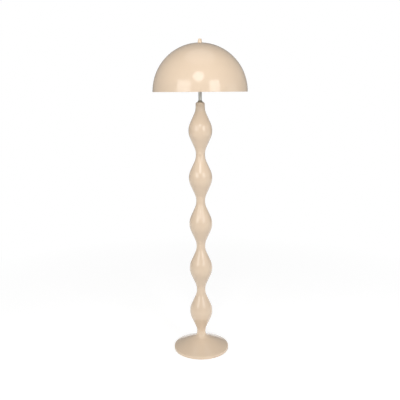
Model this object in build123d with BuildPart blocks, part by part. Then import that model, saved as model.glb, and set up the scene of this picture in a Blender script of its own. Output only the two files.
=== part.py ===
from build123d import *
from math import cos, radians, sin, sqrt, tan
import os

# Mushroom floor lamp: a half-round dome on a stem of equal bulges, over a flared foot.
# Millimetres, +Z up. The origin is on the floor, on the lamp's axis, and +Y is the back.

# ---- Driving dimensions ----------------------------------------------------------------

lamp_height = 1550

rim_height = 1307  # lower edge of the shade
shade_radius = 225
shade_wall = 1.2
crown_radius = 12  # flat at the top of the dome, under the finial
rim_lip = 5  # the edge is turned inwards, which stiffens it

bulge_count = 5
bulge_pitch = 230
bulge_radius = 57
bulge_curve = 91  # radius of a bulge's round, seen from the side
bulge_taper = 24.5  # degrees from upright, from the round down to the hollow of a neck
neck_radius = 22
neck_curve = 80  # radius of that hollow
stem_wall = 1.9
cap_height = 20
cap_rounding = 8

foot_radius = 140
foot_neck_height = 89  # where the stem starts
foot_slope = 25.1  # degrees from the floor
foot_flare_radius = 31  # hollow curve from the cone into the neck
foot_edge_radius = 8
cover_wall = 1.5

thread_radius = 5  # M10 lamp tube, used throughout
thread_bore = 3.5  # its wire way
rod_radius = 8  # the bare rod under the shade
junction_height = 1380  # underside of the round junction box
junction_radius = 27
bulb_radius = 30
bulb_length = 105

slip = 0.3  # clearance round the threaded tube, and round a bulb's cap
fit = 0.1  # clearance of a register or of a screw
thread_fit = 0.05  # clearance in a thread

# ---- Heights and radii that follow -----------------------------------------------------

half_pitch = bulge_pitch / 2
stem_top = foot_neck_height + bulge_count * bulge_pitch
rod_foot = stem_top + cap_height
crown_height = rim_height + sqrt(shade_radius**2 - crown_radius**2)
bore_radius = thread_radius + slip
foot_tilt = radians(foot_slope)


def cone_height(radius, depth=0):
    """Height of the foot's cone at a radius, or of the surface that lies depth under it."""
    corner = foot_neck_height - foot_flare_radius * tan(radians(45) - foot_tilt / 2)
    return corner - (radius - neck_radius) * tan(foot_tilt) - depth / cos(foot_tilt)


def profile_plane(height):
    """The plane of a turned profile: x is the radius, y the height above this level."""
    return Plane((0, 0, height), x_dir=(1, 0, 0), z_dir=(0, -1, 0))


os.makedirs("parts", exist_ok=True)

# ---- Foot ------------------------------------------------------------------------------

felt_radius = 132
felt_hole = 26
felt_thickness = 2
plate_hole = 24
plate_thickness = 2
plate_top = felt_thickness + plate_thickness

with BuildPart() as felt_pad:
    with BuildSketch():
        Circle(felt_radius)
        Circle(felt_hole, mode=Mode.SUBTRACT)
    extrude(amount=felt_thickness)
felt_pad.part.label = "felt_pad"
export_step(felt_pad.part, "parts/felt_pad.step")

screw_radius = 2
screw_head_radius = 3.8
screw_length = 12
screw_circle = 80
screw_count = 3

with BuildPart() as base_plate:
    with BuildSketch(Plane.XY.offset(felt_thickness)):
        Circle(foot_radius - cover_wall - fit)
        Circle(plate_hole, mode=Mode.SUBTRACT)
    extrude(amount=plate_thickness)
    with PolarLocations(screw_circle, screw_count, start_angle=30):
        with Locations(Plane.XY.offset(felt_thickness).rotated((180, 0, 0))):
            CounterSinkHole(screw_radius + fit, screw_head_radius + fit)
base_plate.part.label = "base_plate"
export_step(base_plate.part, "parts/base_plate.step")

screw_head_depth = screw_head_radius - screw_radius

with BuildPart() as base_screws:
    with BuildSketch(Plane.XY.offset(felt_thickness)):
        with PolarLocations(screw_circle, screw_count, start_angle=30):
            Circle(screw_head_radius)
    extrude(amount=screw_head_depth, taper=45)
    with BuildSketch(Plane.XY.offset(felt_thickness)):
        with PolarLocations(screw_circle, screw_count, start_angle=30):
            Circle(screw_radius)
    extrude(amount=screw_length)
base_screws.part.label = "base_screws"
export_step(base_screws.part, "parts/base_screws.step")

# The weight is a casting: a disc that thickens to a hub, with a pocket below for the clamp
# nut and a channel below that lets the mains lead in from the back.
weight_radius = 118
weight_edge_top = 14
weight_shoulder = (40, 28)
hub_radius = 20
hub_top = 36
pocket_radius = 17
pocket_top = 15
channel_width = 9

with BuildPart() as base_weight:
    with BuildSketch(Plane.XZ):
        with BuildLine():
            Polyline(
                (0, plate_top),
                (weight_radius, plate_top),
                (weight_radius, weight_edge_top),
                weight_shoulder,
                (hub_radius, weight_shoulder[1]),
                (hub_radius, hub_top),
                (0, hub_top),
                close=True,
            )
        make_face()
    revolve()
    with BuildSketch(Plane.XY.offset(plate_top)):
        Circle(bore_radius)
    extrude(amount=hub_top, mode=Mode.SUBTRACT)
    with BuildSketch(Plane.XY.offset(plate_top)):
        Circle(pocket_radius)
    extrude(amount=pocket_top - plate_top, mode=Mode.SUBTRACT)
    with BuildSketch(Plane.XY.offset(plate_top)):
        with Locations((0, weight_radius)):
            Rectangle(channel_width, 2 * weight_radius)
    extrude(amount=channel_width, mode=Mode.SUBTRACT)
    with BuildSketch(Plane.XY.offset(plate_top)):
        with PolarLocations(screw_circle, screw_count, start_angle=30):
            Circle(screw_radius + fit)
    extrude(amount=screw_length - plate_thickness, mode=Mode.SUBTRACT)
base_weight.part.label = "base_weight"
export_step(base_weight.part, "parts/base_weight.step")

nut_across_flats = 17
nut_thickness = 6
clamp_washer_radius = 15
clamp_washer_thickness = 2
clamp_washer_foot = pocket_top - clamp_washer_thickness
clamp_nut_foot = clamp_washer_foot - nut_thickness

with BuildPart() as base_nut:
    with BuildSketch(Plane.XY.offset(clamp_nut_foot)):
        RegularPolygon(nut_across_flats / 2, 6, major_radius=False)
        Circle(thread_radius + thread_fit, mode=Mode.SUBTRACT)
    extrude(amount=nut_thickness)
base_nut.part.label = "base_nut"
export_step(base_nut.part, "parts/base_nut.step")

with BuildPart() as base_washer:
    with BuildSketch(Plane.XY.offset(clamp_washer_foot)):
        Circle(clamp_washer_radius)
        Circle(bore_radius, mode=Mode.SUBTRACT)
    extrude(amount=clamp_washer_thickness)
base_washer.part.label = "base_washer"
export_step(base_washer.part, "parts/base_washer.step")

cover_lip = 2.5
lip_foot = foot_neck_height - cover_lip

with BuildPart() as base_spacer:
    with BuildSketch(Plane.XY.offset(hub_top)):
        Circle(rod_radius)
        Circle(bore_radius, mode=Mode.SUBTRACT)
    extrude(amount=lip_foot - hub_top)
base_spacer.part.label = "base_spacer"
export_step(base_spacer.part, "parts/base_spacer.step")

# The cover is spun: an upright edge, a rounded shoulder, a long cone and a hollow flare into
# the neck, with a turned disc in the neck that closes it and forms the first register.
register_radius = 14
register_height = 3
register_top = foot_neck_height + register_height
neck_bore = neck_radius - cover_wall
edge_bore = foot_radius - cover_wall
bush_height = 8
bush_radius = 3.6

with BuildPart() as base_cover:
    with BuildSketch(Plane.XZ):
        with BuildLine():
            FilletPolyline(
                (foot_radius, felt_thickness),
                (foot_radius, cone_height(foot_radius)),
                (neck_radius, cone_height(neck_radius)),
                (neck_radius, foot_neck_height),
                radius=(foot_edge_radius, foot_flare_radius),
            )
            Polyline(
                (neck_radius, foot_neck_height),
                (0, foot_neck_height),
                (0, felt_thickness),
                (foot_radius, felt_thickness),
            )
        make_face()
        with BuildLine():
            FilletPolyline(
                (edge_bore, felt_thickness),
                (edge_bore, cone_height(edge_bore, cover_wall)),
                (neck_bore, cone_height(neck_bore, cover_wall)),
                (neck_bore, foot_neck_height),
                radius=(foot_edge_radius - cover_wall, foot_flare_radius + cover_wall),
            )
            Polyline(
                (neck_bore, foot_neck_height),
                (0, foot_neck_height),
                (0, felt_thickness),
                (edge_bore, felt_thickness),
            )
        make_face(mode=Mode.SUBTRACT)
        with BuildLine():
            Polyline(
                (bore_radius, lip_foot),
                (neck_radius, lip_foot),
                (neck_radius, foot_neck_height),
                (register_radius, foot_neck_height),
                (register_radius, register_top),
                (bore_radius, register_top),
                close=True,
            )
        make_face()
    revolve()
    with BuildSketch(Plane.XZ.offset(-weight_radius)):
        with Locations((0, bush_height)):
            Circle(bush_radius + fit)
    extrude(amount=-(foot_radius - weight_radius + cover_wall), mode=Mode.SUBTRACT)
base_cover.part.label = "base_cover"
export_step(base_cover.part, "parts/base_cover.step")

lead_radius = 2.8
bush_flange = 1.5
bush_flange_radius = 4.8
bush_length = 9

with BuildPart() as cord_bush:
    with BuildSketch(Plane.XZ.offset(-foot_radius)):
        with Locations((0, bush_height)):
            Circle(bush_flange_radius)
    extrude(amount=-bush_flange)
    with BuildSketch(Plane.XZ.offset(-foot_radius)):
        with Locations((0, bush_height)):
            Circle(bush_radius)
    extrude(amount=bush_length - bush_flange)
    with BuildSketch(Plane.XZ.offset(-foot_radius - bush_flange)):
        with Locations((0, bush_height)):
            Circle(lead_radius)
    extrude(amount=bush_length, mode=Mode.SUBTRACT)
cord_bush.part.label = "cord_bush"
export_step(cord_bush.part, "parts/cord_bush.step")

# ---- Stem ------------------------------------------------------------------------------

# A section is one bulge, from the middle of a neck to the middle of the next. Its outline is a
# round between two tapers, each of which runs out into the hollow of a neck.
taper = radians(bulge_taper)
apex_radius = bulge_radius + bulge_curve * (1 / cos(taper) - 1)  # where the tapers would meet
taper_foot = half_pitch - (apex_radius - neck_radius) / tan(taper)
round_foot = half_pitch - bulge_curve * sin(taper)
round_foot_radius = bulge_radius - bulge_curve * (1 - cos(taper))

section_end = 7  # thickness of the turned disc that closes each end
hollow_lower_half = [
    (0, section_end),
    (neck_radius - stem_wall, section_end),
    (neck_radius - stem_wall, taper_foot),
    (round_foot_radius - stem_wall, round_foot),
]
hollow_upper_half = [(x, bulge_pitch - y) for x, y in reversed(hollow_lower_half)]

for number in range(1, bulge_count + 1):
    level = foot_neck_height + (number - 1) * bulge_pitch
    with BuildPart() as stem_section:
        with BuildSketch(profile_plane(level)):
            with BuildLine():
                FilletPolyline(
                    (neck_radius, 0),
                    (neck_radius, taper_foot),
                    (apex_radius, half_pitch),
                    (neck_radius, bulge_pitch - taper_foot),
                    (neck_radius, bulge_pitch),
                    radius=(neck_curve, bulge_curve, neck_curve),
                )
                Polyline((neck_radius, bulge_pitch), (0, bulge_pitch), (0, 0), (neck_radius, 0))
            make_face()
        revolve(axis=Axis.Z)
        with BuildSketch(profile_plane(level)):
            with BuildLine():
                Polyline(
                    *hollow_lower_half,
                    (bulge_radius - stem_wall, half_pitch),
                    *hollow_upper_half,
                    close=True,
                )
            make_face()
        revolve(axis=Axis.Z, mode=Mode.SUBTRACT)
        with BuildSketch(Plane.XY.offset(level + bulge_pitch)):
            Circle(register_radius)
        extrude(amount=register_height)
        with BuildSketch(Plane.XY.offset(level)):
            Circle(register_radius + fit)
        extrude(amount=register_height + fit, mode=Mode.SUBTRACT)
        with BuildSketch(Plane.XY.offset(level)):
            Circle(bore_radius)
        extrude(amount=bulge_pitch + register_height, mode=Mode.SUBTRACT)
    stem_section.part.label = f"stem_section_{number}"
    export_step(stem_section.part, f"parts/stem_section_{number}.step")

with BuildPart() as stem_cap:
    with BuildSketch(Plane.XY.offset(stem_top)):
        Circle(neck_radius)
    extrude(amount=cap_height)
    fillet(stem_cap.edges().sort_by(Axis.Z)[-1], cap_rounding)
    with BuildSketch(Plane.XY.offset(stem_top)):
        Circle(register_radius + fit)
    extrude(amount=register_height + fit, mode=Mode.SUBTRACT)
    with BuildSketch(Plane.XY.offset(stem_top)):
        Circle(bore_radius)
    extrude(amount=cap_height, mode=Mode.SUBTRACT)
stem_cap.part.label = "stem_cap"
export_step(stem_cap.part, "parts/stem_cap.step")

# One threaded tube clamps the foot, the sections and the cap between its nut and the rod.
tie_rod_foot = clamp_nut_foot - 1
thread_engagement = 22

with BuildPart() as tie_rod:
    with BuildSketch(Plane.XY.offset(tie_rod_foot)):
        Circle(thread_radius)
        Circle(thread_bore, mode=Mode.SUBTRACT)
    extrude(amount=rod_foot + thread_engagement - tie_rod_foot)
tie_rod.part.label = "tie_rod"
export_step(tie_rod.part, "parts/tie_rod.step")

ferrule_height = 8
ferrule_rim = 1
ferrule_foot_radius = 13
ferrule_top_radius = 9

with BuildPart() as ferrule:
    with BuildSketch(Plane.XZ):
        with BuildLine():
            Polyline(
                (rod_radius + fit, rod_foot),
                (ferrule_foot_radius, rod_foot),
                (ferrule_foot_radius, rod_foot + ferrule_rim),
                (ferrule_top_radius, rod_foot + ferrule_height),
                (rod_radius + fit, rod_foot + ferrule_height),
                close=True,
            )
        make_face()
    revolve()
ferrule.part.label = "ferrule"
export_step(ferrule.part, "parts/ferrule.step")

rod_wall = 2

with BuildPart() as upper_rod:
    with BuildSketch(Plane.XY.offset(rod_foot)):
        Circle(rod_radius)
        Circle(thread_radius + thread_fit, mode=Mode.SUBTRACT)
    extrude(amount=junction_height - rod_foot)
    with BuildSketch(Plane.XY.offset(rod_foot + thread_engagement)):
        Circle(rod_radius - rod_wall)
    extrude(amount=junction_height - rod_foot - 2 * thread_engagement, mode=Mode.SUBTRACT)
upper_rod.part.label = "upper_rod"
export_step(upper_rod.part, "parts/upper_rod.step")

# ---- Junction box and lampholders ------------------------------------------------------

junction_depth = 28
junction_wall = 1.5
junction_chamfer = 3
junction_floor = junction_height + 4
junction_top = junction_height + junction_depth
arm_height = junction_height + junction_depth / 2

with BuildPart() as junction_cup:
    with BuildSketch(Plane.XY.offset(junction_height)):
        Circle(junction_radius)
    extrude(amount=junction_depth)
    chamfer(junction_cup.edges().sort_by(Axis.Z)[0], junction_chamfer)
    with BuildSketch(Plane.XY.offset(junction_floor)):
        Circle(junction_radius - junction_wall)
    extrude(amount=junction_depth, mode=Mode.SUBTRACT)
    with BuildSketch(Plane.XY.offset(junction_height)):
        Circle(bore_radius)
    extrude(amount=junction_depth, mode=Mode.SUBTRACT)
    with BuildSketch(Plane.YZ.offset(-junction_radius)):
        with Locations((0, arm_height)):
            Circle(bore_radius)
    extrude(amount=2 * junction_radius, mode=Mode.SUBTRACT)
junction_cup.part.label = "junction_cup"
export_step(junction_cup.part, "parts/junction_cup.step")

lid_thickness = 4
lid_chamfer = 2
lid_spigot = 2
lid_top = junction_top + lid_thickness

with BuildPart() as junction_lid:
    with BuildSketch(Plane.XY.offset(junction_top)):
        Circle(junction_radius)
    extrude(amount=lid_thickness)
    chamfer(junction_lid.edges().sort_by(Axis.Z)[-1], lid_chamfer)
    with BuildSketch(Plane.XY.offset(junction_top)):
        Circle(junction_radius - junction_wall - fit)
        Circle(junction_radius - 2 * junction_wall, mode=Mode.SUBTRACT)
    extrude(amount=-lid_spigot)
    with BuildSketch(Plane.XY.offset(junction_top)):
        Circle(bore_radius)
    extrude(amount=lid_thickness, mode=Mode.SUBTRACT)
junction_lid.part.label = "junction_lid"
export_step(junction_lid.part, "parts/junction_lid.step")

with BuildPart() as junction_nut:
    with BuildSketch(Plane.XY.offset(lid_top)):
        RegularPolygon(nut_across_flats / 2, 6, major_radius=False)
        Circle(thread_radius + thread_fit, mode=Mode.SUBTRACT)
    extrude(amount=nut_thickness)
junction_nut.part.label = "junction_nut"
export_step(junction_nut.part, "parts/junction_nut.step")

# A terminal block of three poles: a low body with a tower over each pole for its screw.
block_length = 18
block_width = 8
block_height = 9
block_body_height = 6
block_place = (0, -15)
pole_count = 3
pole_pitch = 6
tower_length = 4.4
tower_width = 6
wire_screw_radius = 1.4
wire_screw_depth = 4

with BuildPart() as terminal_block:
    with BuildSketch(Plane.XY.offset(junction_floor)):
        with Locations(block_place):
            Rectangle(block_length, block_width)
    extrude(amount=block_body_height)
    with BuildSketch(Plane.XY.offset(junction_floor)):
        with Locations(block_place):
            with GridLocations(pole_pitch, 0, pole_count, 1):
                Rectangle(tower_length, tower_width)
    extrude(amount=block_height)
    with BuildSketch(Plane.XY.offset(junction_floor + block_height)):
        with Locations(block_place):
            with GridLocations(pole_pitch, 0, pole_count, 1):
                Circle(wire_screw_radius)
    extrude(amount=-wire_screw_depth, mode=Mode.SUBTRACT)
terminal_block.part.label = "terminal_block"
export_step(terminal_block.part, "parts/terminal_block.step")

arm_start = 19
holder_start = junction_radius
arm_end = holder_start + 10
arm_nut_across_flats = 14
arm_nut_thickness = 3

with BuildPart() as arm_nipples:
    for side in (-1, 1):
        with BuildSketch(Plane.YZ.offset(side * arm_start)):
            with Locations((0, arm_height)):
                Circle(thread_radius)
                Circle(thread_bore, mode=Mode.SUBTRACT)
        extrude(amount=side * (arm_end - arm_start))
arm_nipples.part.label = "arm_nipples"
export_step(arm_nipples.part, "parts/arm_nipples.step")

with BuildPart() as arm_nuts:
    for side in (-1, 1):
        with BuildSketch(Plane.YZ.offset(side * (arm_start + 1))):
            with Locations((0, arm_height)):
                RegularPolygon(arm_nut_across_flats / 2, 6, major_radius=False)
                Circle(thread_radius + thread_fit, mode=Mode.SUBTRACT)
        extrude(amount=side * arm_nut_thickness)
arm_nuts.part.label = "arm_nuts"
export_step(arm_nuts.part, "parts/arm_nuts.step")

# Each lampholder is a cap that screws onto its nipple, and a sleeve that screws onto the cap.
# An insulator in them carries the screw shell and the contact that the bulb meets.
holder_radius = 20.5
holder_wall = 1.6
holder_bore = holder_radius - holder_wall
holder_neck_radius = 9
holder_neck_end = holder_start + 5
holder_cone_end = holder_start + 13
cap_end = holder_start + 18
holder_end = cap_end + 40
mouth_radius = 15.5
mouth_chamfer = 3

insulator_foot = cap_end + 1
socket_foot = cap_end + 7
insulator_end = socket_foot + 8
insulator_taper = 1.5
screw_shell_wall = 0.6
screw_shell_end = holder_end - 4
shell_floor_hole = 8
contact_stem_radius = 2.5
contact_radius = 4
contact_thickness = 1
contact_end = socket_foot + 5.7

bulb_cap_radius = 13.1  # over the thread of an E27 cap
bulb_cap_wall = 0.6
bulb_cap_length = 26
bulb_tip_radius = 4.5
bulb_tip_length = 1.5
thread_start = 6
glass_overlap = 6  # how deep the glass sits in its cap
glass_shoulder = radians(40)  # where the globe leaves its tapered neck, off the arm's axis
screw_shell_bore = bulb_cap_radius + slip
bulb_foot = contact_end + slip
bulb_end = bulb_foot + bulb_length
bulb_middle = bulb_end - bulb_radius
cap_rim = bulb_foot + bulb_cap_length
glass_foot = cap_rim - glass_overlap
glass_neck = bulb_cap_radius - bulb_cap_wall
shoulder_radius = bulb_radius * cos(glass_shoulder)
shoulder_end = bulb_middle - bulb_radius * sin(glass_shoulder)

for side, name in ((-1, "left"), (1, "right")):
    # Along the arm: x is the distance from the lamp's axis, y the radius about the arm.
    arm_plane = Plane((0, 0, arm_height), x_dir=(side, 0, 0), z_dir=(0, -side, 0))
    arm_axis = Axis((0, 0, arm_height), (side, 0, 0))

    with BuildPart() as holder_cap:
        with BuildSketch(arm_plane):
            with BuildLine():
                Polyline(
                    (holder_start, thread_radius + thread_fit),
                    (holder_start, holder_neck_radius),
                    (holder_neck_end, holder_neck_radius),
                    (holder_cone_end, holder_radius),
                    (cap_end, holder_radius),
                    (cap_end, holder_bore),
                    (holder_cone_end + holder_wall, holder_bore),
                    (holder_neck_end + 2 * holder_wall, thread_radius + thread_fit),
                    close=True,
                )
            make_face()
        revolve(axis=arm_axis)
    holder_cap.part.label = f"holder_cap_{name}"
    export_step(holder_cap.part, f"parts/holder_cap_{name}.step")

    with BuildPart() as holder_sleeve:
        with BuildSketch(arm_plane):
            with BuildLine():
                Polyline(
                    (cap_end, holder_bore),
                    (cap_end, holder_radius),
                    (holder_end - mouth_chamfer, holder_radius),
                    (holder_end, holder_radius - mouth_chamfer),
                    (holder_end, mouth_radius),
                    (holder_end - holder_wall, mouth_radius),
                    (holder_end - holder_wall - mouth_chamfer, holder_bore),
                    close=True,
                )
            make_face()
        revolve(axis=arm_axis)
    holder_sleeve.part.label = f"holder_sleeve_{name}"
    export_step(holder_sleeve.part, f"parts/holder_sleeve_{name}.step")

    with BuildPart() as insulator:
        with BuildSketch(arm_plane):
            with BuildLine():
                Polyline(
                    (insulator_foot, 0),
                    (insulator_foot, holder_bore - slip),
                    (insulator_end, holder_bore - slip - insulator_taper),
                    (insulator_end, screw_shell_bore + screw_shell_wall + fit),
                    (socket_foot, screw_shell_bore + screw_shell_wall + fit),
                    (socket_foot, 0),
                    close=True,
                )
            make_face()
        revolve(axis=arm_axis)
    insulator.part.label = f"insulator_{name}"
    export_step(insulator.part, f"parts/insulator_{name}.step")

    with BuildPart() as screw_shell:
        with BuildSketch(arm_plane):
            with BuildLine():
                Polyline(
                    (socket_foot, shell_floor_hole),
                    (socket_foot, screw_shell_bore + screw_shell_wall),
                    (screw_shell_end, screw_shell_bore + screw_shell_wall),
                    (screw_shell_end, screw_shell_bore),
                    (socket_foot + screw_shell_wall, screw_shell_bore),
                    (socket_foot + screw_shell_wall, shell_floor_hole),
                    close=True,
                )
            make_face()
        revolve(axis=arm_axis)
    screw_shell.part.label = f"screw_shell_{name}"
    export_step(screw_shell.part, f"parts/screw_shell_{name}.step")

    with BuildPart() as centre_contact:
        with BuildSketch(arm_plane):
            with BuildLine():
                Polyline(
                    (socket_foot, 0),
                    (socket_foot, contact_stem_radius),
                    (contact_end - contact_thickness, contact_stem_radius),
                    (contact_end - contact_thickness, contact_radius),
                    (contact_end, contact_radius),
                    (contact_end, 0),
                    close=True,
                )
            make_face()
        revolve(axis=arm_axis)
    centre_contact.part.label = f"centre_contact_{name}"
    export_step(centre_contact.part, f"parts/centre_contact_{name}.step")

    with BuildPart() as bulb_cap:
        with BuildSketch(arm_plane):
            with BuildLine():
                Polyline(
                    (bulb_foot, 0),
                    (bulb_foot, bulb_tip_radius),
                    (bulb_foot + bulb_tip_length, bulb_tip_radius),
                    (bulb_foot + thread_start, bulb_cap_radius),
                    (cap_rim, bulb_cap_radius),
                    (cap_rim, glass_neck),
                    (glass_foot, glass_neck),
                    (glass_foot, 0),
                    close=True,
                )
            make_face()
        revolve(axis=arm_axis)
    bulb_cap.part.label = f"bulb_cap_{name}"
    export_step(bulb_cap.part, f"parts/bulb_cap_{name}.step")

    with BuildPart() as bulb_glass:
        with BuildSketch(arm_plane):
            with BuildLine():
                Polyline(
                    (bulb_end, 0),
                    (glass_foot, 0),
                    (glass_foot, glass_neck),
                    (cap_rim, glass_neck),
                    (shoulder_end, shoulder_radius),
                )
                ThreePointArc(
                    (shoulder_end, shoulder_radius),
                    (bulb_middle, bulb_radius),
                    (bulb_end, 0),
                )
            make_face()
        revolve(axis=arm_axis)
    bulb_glass.part.label = f"bulb_glass_{name}"
    export_step(bulb_glass.part, f"parts/bulb_glass_{name}.step")

# ---- Shade -----------------------------------------------------------------------------

washer_thickness = 1
washer_radius = 9
finial_foot = crown_height + washer_thickness
finial_bore_depth = 12
seat_top = crown_height - shade_wall
centre_rod_foot = junction_height - thread_engagement + 2
centre_rod_top = finial_foot + finial_bore_depth - 1
wire_slot_travel = 6
wire_slot_width = 5

with BuildPart() as centre_rod:
    with BuildSketch(Plane.XY.offset(centre_rod_foot)):
        Circle(thread_radius)
        Circle(thread_bore, mode=Mode.SUBTRACT)
    extrude(amount=centre_rod_top - centre_rod_foot)
    with BuildSketch(Plane.XZ):
        with Locations((0, arm_height)):
            SlotCenterToCenter(wire_slot_travel, wire_slot_width, rotation=90)
    extrude(amount=2 * thread_radius, mode=Mode.SUBTRACT)
centre_rod.part.label = "centre_rod"
export_step(centre_rod.part, "parts/centre_rod.step")

seat_radius = crown_radius - 0.5
seat_thickness = 4
lock_nut_thickness = 5

with BuildPart() as shade_seat:
    with BuildSketch(Plane.XY.offset(seat_top - seat_thickness)):
        Circle(seat_radius)
        Circle(thread_radius + thread_fit, mode=Mode.SUBTRACT)
    extrude(amount=seat_thickness)
shade_seat.part.label = "shade_seat"
export_step(shade_seat.part, "parts/shade_seat.step")

with BuildPart() as seat_nut:
    with BuildSketch(Plane.XY.offset(seat_top - seat_thickness - lock_nut_thickness)):
        RegularPolygon(nut_across_flats / 2, 6, major_radius=False)
        Circle(thread_radius + thread_fit, mode=Mode.SUBTRACT)
    extrude(amount=lock_nut_thickness)
seat_nut.part.label = "seat_nut"
export_step(seat_nut.part, "parts/seat_nut.step")

# The dome is one spinning: half a sphere, flat at the crown, with its edge turned inwards.
inner_radius = shade_radius - shade_wall
inner_crown_radius = sqrt(inner_radius**2 - (seat_top - rim_height) ** 2)
lip_top = rim_height + shade_wall
lip_radius = sqrt(inner_radius**2 - shade_wall**2)

with BuildPart() as shade:
    with BuildSketch(Plane.XZ):
        with BuildLine():
            RadiusArc((shade_radius, rim_height), (crown_radius, crown_height), -shade_radius)
            Polyline(
                (crown_radius, crown_height),
                (bore_radius, crown_height),
                (bore_radius, seat_top),
                (inner_crown_radius, seat_top),
            )
            RadiusArc((inner_crown_radius, seat_top), (lip_radius, lip_top), inner_radius)
            Polyline(
                (lip_radius, lip_top),
                (shade_radius - rim_lip, lip_top),
                (shade_radius - rim_lip, rim_height),
                (shade_radius, rim_height),
            )
        make_face()
    revolve()
shade.part.label = "shade"
export_step(shade.part, "parts/shade.step")

with BuildPart() as finial_washer:
    with BuildSketch(Plane.XY.offset(crown_height)):
        Circle(washer_radius)
        Circle(bore_radius, mode=Mode.SUBTRACT)
    extrude(amount=washer_thickness)
finial_washer.part.label = "finial_washer"
export_step(finial_washer.part, "parts/finial_washer.step")

finial_foot_radius = 10.2
finial_top_radius = 8
finial_rim = 2
finial_rounding = 3

with BuildPart() as finial:
    with BuildSketch(Plane.XZ):
        with BuildLine():
            FilletPolyline(
                (finial_foot_radius, finial_foot),
                (finial_foot_radius, finial_foot + finial_rim),
                (finial_top_radius, lamp_height),
                (0, lamp_height),
                radius=(0, finial_rounding),
            )
            Polyline((0, lamp_height), (0, finial_foot), (finial_foot_radius, finial_foot))
        make_face()
    revolve()
    with BuildSketch(Plane.XY.offset(finial_foot)):
        Circle(thread_radius + thread_fit)
    extrude(amount=finial_bore_depth, mode=Mode.SUBTRACT)
finial.part.label = "finial"
export_step(finial.part, "parts/finial.step")
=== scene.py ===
from math import atan2, cos, degrees, pi, radians, sin, sqrt, tan

import bpy
from mathutils import Matrix, Vector


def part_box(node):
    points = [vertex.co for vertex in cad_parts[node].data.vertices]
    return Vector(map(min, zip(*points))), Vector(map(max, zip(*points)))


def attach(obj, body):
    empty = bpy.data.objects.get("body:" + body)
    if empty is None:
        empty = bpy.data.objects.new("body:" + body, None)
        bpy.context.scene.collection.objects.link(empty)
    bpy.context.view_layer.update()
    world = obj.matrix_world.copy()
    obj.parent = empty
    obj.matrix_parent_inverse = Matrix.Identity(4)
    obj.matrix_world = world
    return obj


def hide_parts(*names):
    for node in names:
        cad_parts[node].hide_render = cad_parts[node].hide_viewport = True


# The looks of a mushroom floor lamp: gloss lacquer over spun and turned metal, a bare steel
# rod under the dome, and the light fitting inside it. Metres, +Z up, +Y the back of the lamp.

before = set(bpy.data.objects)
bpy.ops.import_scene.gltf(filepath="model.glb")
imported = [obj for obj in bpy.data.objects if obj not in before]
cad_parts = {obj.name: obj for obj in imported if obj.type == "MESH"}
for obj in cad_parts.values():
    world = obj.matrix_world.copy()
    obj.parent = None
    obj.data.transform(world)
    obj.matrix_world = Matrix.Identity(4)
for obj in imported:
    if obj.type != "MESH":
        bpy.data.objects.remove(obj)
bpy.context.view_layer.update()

MM = 0.001

# ---- Sizes: from the frame's boxes, and those that a box can't tell ------------------------


def low(node):
    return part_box(node)[0]


def high(node):
    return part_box(node)[1]


thread_radius = high("centre_rod").x
thread_bore = thread_radius - 1.5 * MM
thread_hole = thread_radius + 0.05 * MM
bore_radius = thread_radius + 0.3 * MM  # clearance hole for the threaded tube
register_radius = 14 * MM  # spigot by which each piece of the stem sits in the next
register_height = 3 * MM
register_fit = 0.1 * MM

foot_radius = high("base_cover").x
foot_neck_height = low("stem_section_1").z
foot_slope = radians(25.1)
foot_flare_radius = 31 * MM
foot_edge_radius = 8 * MM
cover_wall = 1.5 * MM
neck_disc = 2.5 * MM  # the thicker disc that closes the cover's neck
bush_hole = 3.7 * MM

bulge_count = 5
bulge_pitch = low("stem_section_2").z - foot_neck_height
bulge_radius = 57 * MM
bulge_curve = 91 * MM
bulge_taper = radians(24.5)
neck_radius = high("stem_cap").x
neck_curve = 80 * MM

rim_height = low("shade").z
crown_height = high("shade").z
shade_radius = high("shade").x
shade_wall = 1.2 * MM
crown_radius = 12 * MM
rim_lip = 5 * MM

lacquer_round = 0.35 * MM  # rounding of a lacquered edge
fine_round = 0.12 * MM  # rounding of a small or thin edge

arm_height = (low("bulb_cap_right").z + high("bulb_cap_right").z) / 2
bush_height = (low("cord_bush").z + high("cord_bush").z) / 2

# ---- Lathe axes: a point on one, its direction, and the way the radius is measured ---------

UPRIGHT = (Vector((0, 0, 0)), Vector((0, 0, 1)), Vector((1, 0, 0)))
ARMS = {
    "left": (Vector((0, 0, arm_height)), Vector((-1, 0, 0)), Vector((0, 0, 1))),
    "right": (Vector((0, 0, arm_height)), Vector((1, 0, 0)), Vector((0, 0, 1))),
}
BUSH = (Vector((0, 0, bush_height)), Vector((0, 1, 0)), Vector((0, 0, 1)))

LARGE = 192  # steps round a turned piece, by its size
MEDIUM = 96
SMALL = 48


# ---- Outlines ------------------------------------------------------------------------------


def arc(centre, radius, first, last, count):
    """Points on an arc from one angle to another, both in degrees."""
    turns = [radians(first + (last - first) * n / count) for n in range(count + 1)]
    return [(centre[0] + radius * cos(turn), centre[1] + radius * sin(turn)) for turn in turns]


def straight(start, end, count):
    """Points along a straight stretch, both ends included."""
    return [
        tuple(a + (b - a) * n / count for a, b in zip(start, end)) for n in range(count + 1)
    ]


# ---- Modelling -----------------------------------------------------------------------------


def select_only(piece):
    """Leaves one object selected and active."""
    bpy.ops.object.select_all(action="DESELECT")
    piece.select_set(True)
    bpy.context.view_layer.objects.active = piece


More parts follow.
